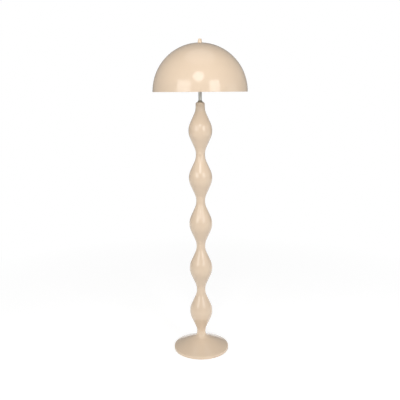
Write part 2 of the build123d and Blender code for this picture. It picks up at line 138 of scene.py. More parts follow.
def drawn_line(name, places):
    """An object in edit mode, with one chain of edges through the places."""
    bpy.ops.object.select_all(action="DESELECT")
    bpy.ops.mesh.primitive_plane_add(size=MM, location=places[0])
    piece = bpy.context.object
    piece.name = piece.data.name = name
    bpy.ops.object.transform_apply(location=True, rotation=True, scale=True)
    bpy.ops.object.mode_set(mode="EDIT")
    bpy.ops.mesh.select_mode(type="VERT")
    bpy.ops.mesh.select_all(action="SELECT")
    bpy.ops.mesh.merge(type="CENTER")
    for here, there in zip(places, places[1:]):
        if (there - here).length > 0.001 * MM:
            bpy.ops.mesh.extrude_region_move(TRANSFORM_OT_translate={"value": there - here})
    bpy.ops.mesh.select_all(action="SELECT")
    return piece


def turned(name, outline, lathe=UPRIGHT, around=MEDIUM):
    """A closed outline of (radius, distance along the axis), turned on a lathe."""
    centre, axis, out = lathe
    places = [centre + radius * out + along * axis for radius, along in [*outline, outline[0]]]
    piece = drawn_line(name, places)
    bpy.ops.mesh.remove_doubles(threshold=0.001 * MM)
    bpy.ops.mesh.spin(steps=around, angle=2 * pi, center=centre, axis=axis)
    tidy_mesh()
    return piece


def tidy_mesh():
    """Merges doubles, drops what has no face, turns the faces outward, and leaves edit mode."""
    bpy.ops.mesh.select_all(action="SELECT")
    bpy.ops.mesh.remove_doubles(threshold=0.001 * MM)
    bpy.ops.mesh.delete_loose(use_verts=True, use_edges=True, use_faces=False)
    bpy.ops.mesh.select_all(action="SELECT")
    bpy.ops.mesh.normals_make_consistent(inside=False)
    bpy.ops.object.mode_set(mode="OBJECT")


def apply_modifier(piece, kind, **settings):
    made = piece.modifiers.new(kind.lower(), kind)
    for key, value in settings.items():
        setattr(made, key, value)
    select_only(piece)
    bpy.ops.object.modifier_apply(modifier=made.name)


def combine(piece, tool, operation):
    """Cuts, joins or trims a piece with another, which is then thrown away."""
    apply_modifier(piece, "BOOLEAN", object=tool, operation=operation, solver="EXACT")
    bpy.data.objects.remove(tool, do_unlink=True)
    bpy.ops.object.mode_set(mode="EDIT")
    tidy_mesh()


def smooth(piece, angle=35):
    """Shades a piece smooth, apart from edges that turn by more than an angle."""
    select_only(piece)
    bpy.ops.object.shade_smooth_by_angle(angle=radians(angle))


def soften(piece, width=0.3 * MM, segments=3, angle=28):
    """Rounds each edge that turns by more than an angle, and shades the rest smooth."""
    limit = radians(angle)
    apply_modifier(
        piece, "BEVEL", width=width, segments=segments, limit_method="ANGLE", angle_limit=limit
    )
    smooth(piece)


def threaded(name, lathe, profile, start, end, steps):
    """A solid rod with a screw thread, cut square at both ends.

    The profile is one turn of the thread: (radius, distance along the axis).
    """
    centre, axis, _ = lathe
    pitch = profile[-1][1]
    places = [Vector((radius, 0, start - 1.5 * pitch + along)) for radius, along in profile]
    rod = drawn_line(name, places)
    bpy.ops.object.mode_set(mode="OBJECT")
    apply_modifier(
        rod,
        "SCREW",
        axis="Z",
        angle=2 * pi,
        screw_offset=pitch,
        iterations=int((end - start) / pitch) + 4,
        steps=steps,
        render_steps=steps,
    )
    bpy.ops.object.mode_set(mode="EDIT")
    bpy.ops.mesh.select_all(action="SELECT")
    bpy.ops.mesh.remove_doubles(threshold=0.005 * MM)
    for level, is_start in ((start, True), (end, False)):
        bpy.ops.mesh.select_all(action="SELECT")
        bpy.ops.mesh.bisect(
            plane_co=(0, 0, level),
            plane_no=(0, 0, 1),
            use_fill=True,
            clear_inner=is_start,
            clear_outer=not is_start,
            threshold=0.0001 * MM,
        )
    tidy_mesh()
    turn = Vector((0, 0, 1)).rotation_difference(axis).to_matrix().to_4x4()
    rod.data.transform(Matrix.Translation(centre) @ turn)
    return rod


def hex_nut(name, node, body):
    """A hexagon nut, 17 mm across flats, with both faces chamfered and its thread countersunk."""
    foot, top = low(node).z, high(node).z
    flats = 17 * MM
    corner = flats / sqrt(3)
    bpy.ops.object.select_all(action="DESELECT")
    bpy.ops.mesh.primitive_cylinder_add(
        vertices=6,
        radius=corner,
        depth=top - foot,
        location=(0, 0, (foot + top) / 2),
        rotation=(0, 0, radians(30)),
    )
    nut = bpy.context.object
    nut.name = nut.data.name = name
    bpy.ops.object.transform_apply(location=True, rotation=True, scale=True)
    face = 0.96 * flats / 2
    beyond = corner + MM
    drop = (beyond - face) * tan(radians(30))
    countersink = 0.6 * MM
    blank = turned(
        "nut_blank",
        [
            (thread_hole, foot + countersink),
            (thread_hole + countersink, foot),
            (face, foot),
            (beyond, foot + drop),
            (beyond, top - drop),
            (face, top),
            (thread_hole + countersink, top),
            (thread_hole, top - countersink),
        ],
        around=SMALL,
    )
    combine(nut, blank, "INTERSECT")
    soften(nut, fine_round, 2, 20)
    dress(nut, body, "zinc_steel", zinc, node)


def drill(piece, lathe, radius, start, end, around=SMALL):
    """Drills a round hole in a piece along an axis, from one distance to another."""
    bit = turned("bit", [(0, start), (radius, start), (radius, end), (0, end)], lathe, around)
    combine(piece, bit, "DIFFERENCE")
    smooth(piece)


def dress(piece, body, slot, material, *nodes):
    """Gives a finished piece its material, and the body and nodes that it stands for."""
    piece.data.materials.clear()
    piece.data.materials.append(material)
    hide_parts(*nodes)
    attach(piece, body)


# ---- Material building ---------------------------------------------------------------------


def add(tree, kind, inputs=None, **settings):
    """A node with its settings, and with its inputs linked or filled in."""
    made = tree.nodes.new(kind)
    for key, value in settings.items():
        setattr(made, key, value)
    for key, value in (inputs or {}).items():
        if isinstance(value, bpy.types.NodeSocket):
            tree.links.new(value, made.inputs[key])
        else:
            made.inputs[key].default_value = value
    return made


def noise(tree, place, scale, detail=3, roughness=0.55):
    inputs = {"Vector": place, "Scale": scale, "Detail": detail, "Roughness": roughness}
    return add(tree, "ShaderNodeTexNoise", inputs).outputs["Fac"]


def remap(tree, value, to_low, to_high, from_low=0.3, from_high=0.7):
    """A value stretched to another range. The range of a noise is about 0.3 to 0.7."""
    ends = {"From Min": from_low, "From Max": from_high, "To Min": to_low, "To Max": to_high}
    return add(tree, "ShaderNodeMapRange", {"Value": value, **ends}).outputs["Result"]


def reckon(tree, operation, *values):
    return add(tree, "ShaderNodeMath", dict(enumerate(values)), operation=operation).outputs[0]


def stretched(tree, place, factors):
    inputs = {0: place, 1: factors}
    return add(tree, "ShaderNodeVectorMath", inputs, operation="MULTIPLY").outputs["Vector"]


def blend(tree, share, first, second):
    """A colour between two others."""
    inputs = {0: share, 6: first, 7: second}
    return add(tree, "ShaderNodeMix", inputs, data_type="RGBA").outputs[2]


def bumps(tree, height, strength, distance):
    inputs = {"Height": height, "Strength": strength, "Distance": distance}
    return add(tree, "ShaderNodeBump", inputs).outputs["Normal"]


SOCKETS = {float: "NodeSocketFloat", 3: "NodeSocketVector", 4: "NodeSocketColor"}


def new_group(name, inputs):
    """An empty node group that gives a colour, a roughness and a normal."""
    group = bpy.data.node_groups.new(name, "ShaderNodeTree")
    for socket, value in inputs.items():
        kind = SOCKETS[float if isinstance(value, float) else len(value)]
        group.interface.new_socket(socket, in_out="INPUT", socket_type=kind).default_value = value
    for socket, kind in (("Colour", 4), ("Roughness", float), ("Normal", 3)):
        group.interface.new_socket(socket, in_out="OUTPUT", socket_type=SOCKETS[kind])
    given = add(group, "NodeGroupInput").outputs
    made = add(group, "NodeGroupOutput").inputs
    place = add(group, "ShaderNodeTexCoord").outputs["Object"]
    return group, given, made, place


def sprayed_coat_group():
    """Sprayed lacquer or enamel: a slow drift of tone, and the faint ripple of the spray."""
    group, given, made, place = new_group(
        "sprayed_coat",
        {
            "Colour": (0.8, 0.8, 0.8, 1.0),
            "Drift": 0.03,
            "Roughness": 0.3,
            "Ripple": 0.1,
            "Ripple Scale": 450.0,
        },
    )
    cloud = remap(group, noise(group, place, 5), -1, 1)
    lightness = reckon(group, "MULTIPLY_ADD", cloud, given["Drift"], 1)
    tone = {"Color": given["Colour"], "Value": lightness}
    colour = add(group, "ShaderNodeHueSaturation", tone).outputs["Color"]
    handling = remap(group, noise(group, place, 60, 4, 0.6), 0.85, 1.15)
    roughness = reckon(group, "MULTIPLY", handling, given["Roughness"])
    ripple = noise(group, place, given["Ripple Scale"], 1.5, 0.4)
    group.links.new(colour, made["Colour"])
    group.links.new(roughness, made["Roughness"])
    group.links.new(bumps(group, ripple, given["Ripple"], 0.1 * MM), made["Normal"])
    return group


def worked_metal_group():
    """Bare metal: fine marks drawn out along one direction, and a cloudy tarnish."""
    group, given, made, place = new_group(
        "worked_metal",
        {
            "Colour": (0.6, 0.6, 0.6, 1.0),
            "Roughness": 0.3,
            "Mark Stretch": (900.0, 900.0, 20.0),
            "Mark Depth": 0.2,
            "Tarnish": 0.2,
        },
    )
    marks = noise(group, stretched(group, place, given["Mark Stretch"]), 1, 5, 0.65)
    clouds = remap(group, noise(group, place, 45, 5, 0.6), 0, 1, 0.4, 0.75)
    dulled = reckon(group, "MULTIPLY", clouds, given["Tarnish"])
    tone = {"Color": given["Colour"], "Saturation": 1.15, "Value": 0.6}
    darker = add(group, "ShaderNodeHueSaturation", tone).outputs["Color"]
    worn = reckon(group, "MULTIPLY_ADD", dulled, 0.4, given["Roughness"])
    roughness = reckon(group, "MULTIPLY", remap(group, marks, 0.75, 1.25), worn)
    group.links.new(blend(group, dulled, given["Colour"], darker), made["Colour"])
    group.links.new(roughness, made["Roughness"])
    group.links.new(bumps(group, marks, given["Mark Depth"], 0.05 * MM), made["Normal"])
    return group


def grainy_skin_group():
    """Plastic, glaze, glass or a casting: a mottled colour and a fine grain."""
    group, given, made, place = new_group(
        "grainy_skin",
        {
            "Colour": (0.8, 0.8, 0.8, 1.0),
            "Second Colour": (0.7, 0.7, 0.7, 1.0),
            "Roughness": 0.4,
            "Grain Scale": 900.0,
            "Grain Depth": 0.1,
        },
    )
    mottle = remap(group, noise(group, place, 70, 4, 0.6), 0, 1, 0.35, 0.7)
    grain = noise(group, place, given["Grain Scale"], 3, 0.6)
    roughness = reckon(group, "MULTIPLY", remap(group, grain, 0.85, 1.15), given["Roughness"])
    group.links.new(
        blend(group, mottle, given["Colour"], given["Second Colour"]), made["Colour"]
    )
    group.links.new(roughness, made["Roughness"])
    group.links.new(bumps(group, grain, given["Grain Depth"], 0.2 * MM), made["Normal"])
    return group


def finish(name, group, values, **fixed):
    """A material whose colour, roughness and normal come from a node group.

    fixed are sockets of the shader itself, written with _ for a space.
    """
    material = bpy.data.materials.new(name)
    material.use_nodes = True
    tree = material.node_tree
    shader = tree.nodes["Principled BSDF"]
    surface = add(tree, "ShaderNodeGroup", node_tree=group)
    for socket, value in values.items():
        surface.inputs[socket].default_value = value
    tree.links.new(surface.outputs["Colour"], shader.inputs["Base Color"])
    tree.links.new(surface.outputs["Roughness"], shader.inputs["Roughness"])
    tree.links.new(surface.outputs["Normal"], shader.inputs["Normal"])
    for socket, value in fixed.items():
        shader.inputs[socket.replace("_", " ")].default_value = value
    return material


def pressed_felt():
    """Pressed wool: matted fibres in many directions, its colour lighter where the bump stands
    higher.
    """
    material = bpy.data.materials.new("pressed_felt")
    material.use_nodes = True
    tree = material.node_tree
    shader = tree.nodes["Principled BSDF"]
    place = add(tree, "ShaderNodeTexCoord").outputs["Object"]
    tufts = noise(tree, place, 260, 6, 0.7)
    fibres = noise(tree, stretched(tree, place, (1400, 300, 900)), 1, 6, 0.75)
    matted = reckon(tree, "ADD", tufts, fibres)
    # The colour follows the bump's height: lighter on raised fibres, darker in the hollows
    # between them.
    lighter_where_raised = remap(tree, matted, 0, 1, 0.7, 1.3)
    colour = blend(tree, lighter_where_raised, (0.018, 0.017, 0.016, 1), (0.075, 0.071, 0.066, 1))
    tree.links.new(colour, shader.inputs["Base Color"])
    tree.links.new(bumps(tree, matted, 0.8, 0.5 * MM), shader.inputs["Normal"])
    shader.inputs["Roughness"].default_value = 0.95
    shader.inputs["Sheen Weight"].default_value = 0.35
    return material


sprayed_coat = sprayed_coat_group()
worked_metal = worked_metal_group()
grainy_skin = grainy_skin_group()

# ---- The lamp's finishes -------------------------------------------------------------------

lacquer = finish(
    "beige_gloss_lacquer",
    sprayed_coat,
    {"Colour": (0.80, 0.63, 0.465, 1), "Drift": 0.015, "Roughness": 0.45, "Ripple": 0.08},
    Specular_IOR_Level=0.25,
    Coat_Weight=1.0,
    Coat_Roughness=0.1,
)
dome_enamel = finish(
    "white_dome_enamel",
    sprayed_coat,
    {"Colour": (0.84, 0.82, 0.77, 1), "Drift": 0.03, "Roughness": 0.42, "Ripple": 0.3},
)
box_enamel = finish(
    "white_box_enamel",
    sprayed_coat,
    {"Colour": (0.82, 0.80, 0.75, 1), "Drift": 0.03, "Roughness": 0.3, "Ripple": 0.35},
    Coat_Weight=0.5,
    Coat_Roughness=0.12,
)
satin_steel = finish(
    "satin_steel",
    worked_metal,
    {"Colour": (0.635, 0.615, 0.555, 1), "Roughness": 0.3, "Mark Stretch": (1500, 1500, 14)},
    Metallic=1.0,
)
dark_metal = finish(
    "dark_turned_metal",
    worked_metal,
    {"Colour": (0.62, 0.545, 0.42, 1), "Roughness": 0.36, "Mark Stretch": (60, 60, 2600)},
    Metallic=1.0,
)
zinc = finish(
    "zinc_plate",
    worked_metal,
    {"Colour": (0.58, 0.585, 0.58, 1), "Roughness": 0.34, "Mark Stretch": (300, 300, 300)},
    Metallic=1.0,
)
brass = finish(
    "rolled_brass",
    worked_metal,
    {"Colour": (0.76, 0.56, 0.27, 1), "Roughness": 0.25, "Mark Stretch": (30, 900, 900)},
    Metallic=1.0,
)
nickel = finish(
    "nickel_plate",
    worked_metal,
    {"Colour": (0.70, 0.68, 0.63, 1), "Roughness": 0.2, "Mark Stretch": (40, 700, 700)},
    Metallic=1.0,
)
cast_iron = finish(
    "cast_iron",
    grainy_skin,
    {
        "Colour": (0.085, 0.085, 0.085, 1),
        "Second Colour": (0.13, 0.11, 0.095, 1),
        "Roughness": 0.75,
        "Grain Scale": 700,
        "Grain Depth": 0.9,
    },
    Metallic=0.35,
)
black_plastic = finish(
    "black_bush_plastic",
    grainy_skin,
    {
        "Colour": (0.022, 0.022, 0.023, 1),
        "Second Colour": (0.035, 0.034, 0.033, 1),
        "Roughness": 0.5,
        "Grain Scale": 2500,
        "Grain Depth": 0.35,
    },
)
white_plastic = finish(
    "white_holder_plastic",
    grainy_skin,
    {
        "Colour": (0.80, 0.79, 0.75, 1),
        "Second Colour": (0.77, 0.755, 0.71, 1),
        "Roughness": 0.36,
        "Grain Scale": 1800,
        "Grain Depth": 0.1,
    },
)
porcelain = finish(
    "glazed_porcelain",
    grainy_skin,
    {
        "Colour": (0.82, 0.81, 0.77, 1),
        "Second Colour": (0.76, 0.75, 0.71, 1),
        "Roughness": 0.16,
        "Grain Scale": 300,
        "Grain Depth": 0.12,
    },
)
nylon = finish(
    "nylon",
    grainy_skin,
    {
        "Colour": (0.74, 0.68, 0.58, 1),
        "Second Colour": (0.70, 0.63, 0.52, 1),
        "Roughness": 0.45,
        "Grain Scale": 1500,
        "Grain Depth": 0.15,
    },
    Subsurface_Weight=0.15,
    Subsurface_Scale=2 * MM,
)
opal_glass = finish(
    "opal_glass",
    grainy_skin,
    {
        "Colour": (0.88, 0.88, 0.86, 1),
        "Second Colour": (0.85, 0.855, 0.85, 1),
        "Roughness": 0.12,
        "Grain Scale": 120,
        "Grain Depth": 0.05,
    },
    Subsurface_Weight=0.3,
    Subsurface_Scale=6 * MM,
    Coat_Weight=0.4,
    Coat_Roughness=0.03,
)
felt = pressed_felt()


# ---- Foot ----------------------------------------------------------------------------------


def cover_curve(inset, count):
    """The cover's rounded shoulder, cone and flare, this far inside its outer skin."""
    tilt = degrees(foot_slope)
    half_turn = tan(radians(45) - foot_slope / 2)
    cone_top = foot_neck_height - foot_flare_radius * half_turn
    cone_foot = cone_top - (foot_radius - neck_radius) * tan(foot_slope)
    shoulder_centre = (foot_radius - foot_edge_radius, cone_foot - foot_edge_radius * half_turn)
    flare_centre = (neck_radius + foot_flare_radius, foot_neck_height)
    shoulder = arc(shoulder_centre, foot_edge_radius - inset, 0, 90 - tilt, count)
    flare = arc(flare_centre, foot_flare_radius + inset, 270 - tilt, 180, 2 * count)
    return [*shoulder, *straight(shoulder[-1], flare[0], 6)[1:-1], *flare]


def make_foot_cover():
    foot, top = low("base_cover").z, high("base_cover").z
    disc_height = foot_neck_height - neck_disc
    inside = [point for point in cover_curve(cover_wall, 12) if point[1] < disc_height]
    cover = turned(
        "foot_cover",
        [
            (foot_radius - cover_wall, foot),
            (foot_radius, foot),
            *cover_curve(0, 16),
            (register_radius, foot_neck_height),
            (register_radius, top),
            (bore_radius, top),
            (bore_radius, disc_height),
            (inside[-1][0], disc_height),
            *reversed(inside),
        ],
        around=LARGE,
    )
    soften(cover, lacquer_round)
    past = 20 * MM  # how far the drill goes to each side of the cover's wall
    drill(cover, BUSH, bush_hole, foot_radius - past, foot_radius + past)
    dress(cover, "stand", "lacquer", lacquer, "base_cover")


def make_felt():
    foot, top = low("felt_pad").z, high("felt_pad").z
    outer, inner = high("felt_pad").x, 26 * MM
    rounding = 0.7 * MM
    outline = [
        *arc((outer - rounding, top - rounding), rounding, 0, 90, 4),
        *straight((outer - rounding, top), (inner + rounding, top), 14)[1:-1],
        *arc((inner + rounding, top - rounding), rounding, 90, 180, 4),
        *arc((inner + rounding, foot + rounding), rounding, 180, 270, 4),
        *straight((inner + rounding, foot), (outer - rounding, foot), 14)[1:-1],
        *arc((outer - rounding, foot + rounding), rounding, 270, 360, 4),
    ]
    pad = turned("felt_ring", outline, around=LARGE)
    smooth(pad, 60)
    dress(pad, "stand", "felt", felt, "felt_pad")


def make_clamp_washer():
    foot, top = low("base_washer").z, high("base_washer").z
    outer = high("base_washer").x
    washer = turned(
        "clamp_washer", [(bore_radius, foot), (outer, foot), (outer, top), (bore_radius, top)]
    )
    soften(washer, 0.25 * MM)
    dress(washer, "stand", "zinc_steel", zinc, "base_washer")


def make_bush():
    """The bush in the foot's back: a flange with a rolled mouth, and a body through the wall."""
    back, front = high("cord_bush").y, low("cord_bush").y
    flange = high("cord_bush").z - bush_height
    body, lead = 3.6 * MM, 2.8 * MM
    flange_foot = back - 1.5 * MM
    roll, lead_in = 0.6 * MM, 0.4 * MM
    outline = [
        (lead, front),
        (body - lead_in, front),
        (body, front + 2 * lead_in),
        (body, flange_foot),
        (flange, flange_foot),
        *arc((flange - roll, back - roll), roll, 0, 90, 5),
        *arc((lead + roll, back - roll), roll, 90, 180, 5),
    ]
    bush = turned("lead_bush", outline, BUSH, SMALL)
    soften(bush, fine_round, 2)
    dress(bush, "stand", "black_plastic", black_plastic, "cord_bush")


# ---- Stem ----------------------------------------------------------------------------------


def section_skin():
    """The skin of one section, from its foot up: hollow, taper, round, taper, hollow."""
    half = bulge_pitch / 2
    taper = degrees(bulge_taper)
    apex = bulge_radius + bulge_curve * (1 / cos(bulge_taper) - 1)
    taper_foot = half - (apex - neck_radius) / tan(bulge_taper)
    hollow_start = taper_foot - neck_curve * tan(bulge_taper / 2)
    hollow = arc((neck_radius + neck_curve, hollow_start), neck_curve, 180, 180 - taper, 14)
    crest = arc((bulge_radius - bulge_curve, half), bulge_curve, -taper, 0, 18)
    lower_half = [*hollow, *straight(hollow[-1], crest[0], 8)[1:-1], *crest]
    upper_half = [(radius, bulge_pitch - height) for radius, height in reversed(lower_half)]
    return [*lower_half, *upper_half[1:]]


def recess(foot):
    """The hollow in a piece's foot, that the spigot of the piece below fits."""
    floor, side = foot + register_height + register_fit, register_radius + register_fit
    return [(bore_radius, floor), (side, floor), (side, foot)]


def make_stem_sections():
    gap = 0.04 * MM  # a hair's breadth at each end, where a section meets the next
    land = neck_radius - MM  # outer radius of the ring on which it rests
    first = turned(
        "stem_section_1_skin",
        [
            *recess(0),
            (land, 0),
            (neck_radius, gap),
            *section_skin(),
            (neck_radius, bulge_pitch - gap),
            (land, bulge_pitch),
            (register_radius, bulge_pitch),
            (register_radius, bulge_pitch + register_height),
            (bore_radius, bulge_pitch + register_height),
        ],
        around=LARGE,
    )
    soften(first, lacquer_round)
    sections = [first]
    for number in range(2, bulge_count + 1):
        section = first.copy()
        section.data = first.data.copy()
        section.name = section.data.name = f"stem_section_{number}_skin"
        bpy.context.collection.objects.link(section)
        sections.append(section)
    for number, section in enumerate(sections, 1):
        level = foot_neck_height + (number - 1) * bulge_pitch
        section.data.transform(Matrix.Translation((0, 0, level)))
        dress(section, "stand", "lacquer", lacquer, f"stem_section_{number}")


def make_stem_cap():
    foot, top = low("stem_cap").z, high("stem_cap").z
    rounding = 8 * MM
    cap = turned(
        "stem_shoulder",
        [
            *recess(foot),
            (neck_radius, foot),
            *arc((neck_radius - rounding, top - rounding), rounding, 0, 90, 20),
            (bore_radius, top),
        ],
        around=LARGE,
    )
    soften(cap, lacquer_round)
    dress(cap, "stand", "lacquer", lacquer, "stem_cap")


def make_ferrule():
    """The dark collar: a plain rim, a cone, and two lines turned round it."""
    foot, top = low("ferrule").z, high("ferrule").z
    rim, neck, bore = high("ferrule").x, 9 * MM, 8.1 * MM
    cone_foot = foot + MM
    line_half, line_depth = 0.04, 0.25 * MM  # half a line's share of the cone, and its depth

    def on_cone(share, depth=0.0):
        return (rim + (neck - rim) * share - depth, cone_foot + (top - cone_foot) * share)

    outline = [(bore, foot), (rim, foot), (rim, cone_foot), on_cone(0.02)]
    for line in (0.32, 0.66):
        outline += [
            on_cone(line - line_half),
            on_cone(line, line_depth),
            on_cone(line + line_half),
        ]
    outline += [(neck, top), (bore, top)]
    ferrule = turned("rod_ferrule", outline)
    soften(ferrule, 0.1 * MM, 2, 20)
    dress(ferrule, "stand", "dark_metal", dark_metal, "ferrule")


def make_upper_rod():
    foot, top = low("upper_rod").z, high("upper_rod").z
    radius = high("upper_rod").x
    rod = turned(
        "bare_rod", [(thread_hole, foot), (radius, foot), (radius, top), (thread_hole, top)]
    )
    soften(rod, 0.5 * MM)
    dress(rod, "stand", "satin_steel", satin_steel, "upper_rod")


# ---- Junction box and lampholders ----------------------------------------------------------


def make_junction():
    foot, seam, top = low("junction_cup").z, high("junction_cup").z, high("junction_lid").z
    radius, wall = high("junction_cup").x, 1.5 * MM
    floor, rounding = foot + 4 * MM, 3.5 * MM
    cup = turned(
        "junction_bowl",
        [
            (bore_radius, foot),
            *arc((radius - rounding, foot + rounding), rounding, -90, 0, 10),
            (radius, seam),
            (radius - wall, seam),
            (radius - wall, floor),
            (bore_radius, floor),
        ],
    )
    soften(cup)
    drill(cup, ARMS["right"], bore_radius, -2 * radius, 2 * radius)
    dress(cup, "stand", "white_lacquer", box_enamel, "junction_cup")

    spigot = low("junction_lid").z
    rounding = 2.5 * MM
    lid = turned(
        "junction_cover",
        [
            (bore_radius, seam),
            (radius - 2 * wall, seam),
            (radius - 2 * wall, spigot),
            (radius - wall - 0.1 * MM, spigot),
            (radius - wall - 0.1 * MM, seam),
            (radius, seam),
            *arc((radius - rounding, top - rounding), rounding, 0, 90, 8),
            (bore_radius, top),
        ],
    )
    soften(lid)
    dress(lid, "stand", "white_lacquer", box_enamel, "junction_lid")


def reach(node):
    """How near to the lamp's axis and how far from it a node on an arm lies."""
    ends = (abs(low(node).x), abs(high(node).x))
    return min(ends), max(ends)


def make_holder_cap(side):
    near, seam = reach(f"holder_cap_{side}")
    radius = high(f"holder_cap_{side}").z - arm_height
    wall, neck, rounding = 1.6 * MM, 9 * MM, 8 * MM
    collar, hollow = near + 5.2 * MM, 1.2 * MM
    end = seam - 0.05 * MM
    cap = turned(
        f"holder_cap_{side}_shell",
        [
            (thread_hole, near),
            (neck, near),
            (neck, collar - hollow),
            (neck + hollow, collar),
            *arc((radius - rounding, collar + rounding), rounding, -90, 0, 12),
            (radius, end),
            (radius - wall, end),
            (radius - wall, collar + 9.4 * MM),
            (thread_hole, collar + 2.8 * MM),
        ],
        ARMS[side],
    )
    soften(cap)
    dress(cap, "stand", "white_plastic", white_plastic, f"holder_cap_{side}")


def make_holder_sleeve(side):
    """The lampholder's skirt: a band of grip ribs, a step, and a rolled mouth."""
    seam, end = reach(f"holder_sleeve_{side}")
    radius = high(f"holder_sleeve_{side}").z - arm_height
    wall, mouth, lip = 1.6 * MM, 15.5 * MM, 3 * MM
    rib = 0.5 * MM
    skirt = radius - rib
    start = seam + 0.05 * MM
    grip_start, grip_end = seam + 3 * MM, seam + 15 * MM
    step = seam + 21 * MM
    sleeve = turned(
        f"holder_sleeve_{side}_shell",
        [
            (radius - wall, start),
            (radius, start),
            (radius, seam + 2 * MM),
            (skirt, seam + 2.5 * MM),
            (skirt, grip_start),
            (skirt, grip_end),
            (skirt, step),
            (skirt - rib, step + rib),
            *arc((skirt - rib - lip, end - lip), lip, 0, 90, 8),
            (mouth, end),
            (mouth, end - wall),
            (radius - wall - rib, end - wall - lip),
        ],
        ARMS[side],
        144,
    )
    select_only(sleeve)
    bpy.ops.object.mode_set(mode="EDIT")
    bpy.ops.mesh.select_mode(type="FACE")
    bpy.ops.mesh.select_all(action="DESELECT")
    bpy.ops.object.mode_set(mode="OBJECT")
    for face in sleeve.data.polygons:
        across, up = face.center.y, face.center.z - arm_height
        turn = atan2(across, up) / radians(10)
        on_band = grip_start < abs(face.center.x) < grip_end
        on_skin = sqrt(across**2 + up**2) > skirt - 0.2 * MM
        face.select = on_band and on_skin and turn % 1 < 0.5
    bpy.ops.object.mode_set(mode="EDIT")
    bpy.ops.mesh.extrude_region_shrink_fatten(TRANSFORM_OT_shrink_fatten={"value": rib})
    bpy.ops.object.mode_set(mode="OBJECT")
    soften(sleeve, fine_round, 2)
    dress(sleeve, "stand", "white_plastic", white_plastic, f"holder_sleeve_{side}")


def make_bulb_cap(side):
    """The bulb's screw cap: a rolled round thread between its solder tip and its rim."""
    foot, rim = reach(f"bulb_cap_{side}")
    radius = high(f"bulb_cap_{side}").z - arm_height
    pitch, depth = 3.62 * MM, 0.9 * MM
    thread_start, thread_end = foot + 6 * MM, rim - 4 * MM
    profile = [
        (radius - depth * (1 + cos(2 * pi * n / 10)) / 2, pitch * n / 10) for n in range(11)
    ]
    cap = threaded(
        f"bulb_cap_{side}_shell", ARMS[side], profile, thread_start, thread_end, SMALL
    )
    tip, bead = 4.3 * MM, 0.4 * MM
    root, collar = radius - depth - 0.3 * MM, radius - 0.3 * MM
    ends = turned(
        "cap_ends",
        [
            (0, foot),
            (tip, foot),
            (tip + bead, foot + bead),
            (tip + bead, foot + 3 * bead),
            (tip + 1.4 * MM, foot + 1.5 * MM),
            (root - 1.2 * MM, thread_start - 1.2 * MM),
            (root, thread_start + 0.3 * MM),
            (root, thread_end - 0.3 * MM),
            (collar, thread_end + 0.5 * MM),
            (collar, rim),
            (0, rim),
        ],
        ARMS[side],
    )
    combine(cap, ends, "UNION")
    smooth(cap, 50)
    dress(cap, f"bulb_{side}", "nickel", nickel, f"bulb_cap_{side}")


def make_bulb_glass(side):
    rim = reach(f"bulb_cap_{side}")[1]
    end = reach(f"bulb_glass_{side}")[1]
    globe, neck, lean = 30 * MM, 12.5 * MM, 40  # lean: where the neck meets the globe, degrees
    tuck = 6 * MM  # how far the glass reaches into its cap
    middle = end - globe
    leave = (globe * cos(radians(lean)), middle - globe * sin(radians(lean)))
    glass = turned(
        f"bulb_globe_{side}",
        [
            (0, rim - tuck),
            (neck, rim - tuck),
            (neck, rim + MM),
            *straight((neck + 0.3 * MM, rim + 3 * MM), leave, 6)[:-1],
            *arc((0, middle), globe, -lean, 90, 36),
        ],
        ARMS[side],
    )
    smooth(glass, 60)
    dress(glass, f"bulb_{side}", "opal_glass", opal_glass, f"bulb_glass_{side}")


# ---- Shade ---------------------------------------------------------------------------------


def cut_wire_slot(rod):
    """An upright slot in the tube's front, where the wires come out into the junction box."""
    half_width, half_travel, reach_out = 2.5 * MM, 3 * MM, 8 * MM
    bpy.ops.object.select_all(action="DESELECT")
    bpy.ops.mesh.primitive_cube_add(size=1, location=(0, -reach_out / 2, arm_height))
    middle = bpy.context.object
    middle.dimensions = (2 * half_width, reach_out, 2 * half_travel)
    bpy.ops.object.transform_apply(location=True, rotation=True, scale=True)
    combine(rod, middle, "DIFFERENCE")
    for side in (-1, 1):
        centre = Vector((0, 0, arm_height + side * half_travel))
        front = (centre, Vector((0, -1, 0)), Vector((0, 0, 1)))
        drill(rod, front, half_width, 0, reach_out, 24)


def make_centre_rod():
    foot, top = low("centre_rod").z, high("centre_rod").z
    pitch, depth = MM, 0.6 * MM
    profile = [
        (thread_radius - depth, 0),
        (thread_radius - depth, 0.2 * pitch),
        (thread_radius, 0.54 * pitch),
        (thread_radius, 0.66 * pitch),
        (thread_radius - depth, pitch),
    ]
    rod = threaded("threaded_tube", UPRIGHT, profile, foot, top, 24)
    drill(rod, UPRIGHT, thread_bore, foot - MM, top + MM, 24)
    cut_wire_slot(rod)
    dress(rod, "stand", "zinc_steel", zinc, "centre_rod")


def make_seat():
    foot, top = low("shade_seat").z, high("shade_seat").z
    radius = high("shade_seat").x
    rounding = MM
    seat = turned(
        "seat_disc",
        [
            (thread_hole, foot),
            *arc((radius - rounding, foot + rounding), rounding, -90, 0, 6),
            (radius, top),
            (thread_hole, top),
        ],
    )
    soften(seat, 0.2 * MM)
    dress(seat, "stand", "zinc_steel", zinc, "shade_seat")


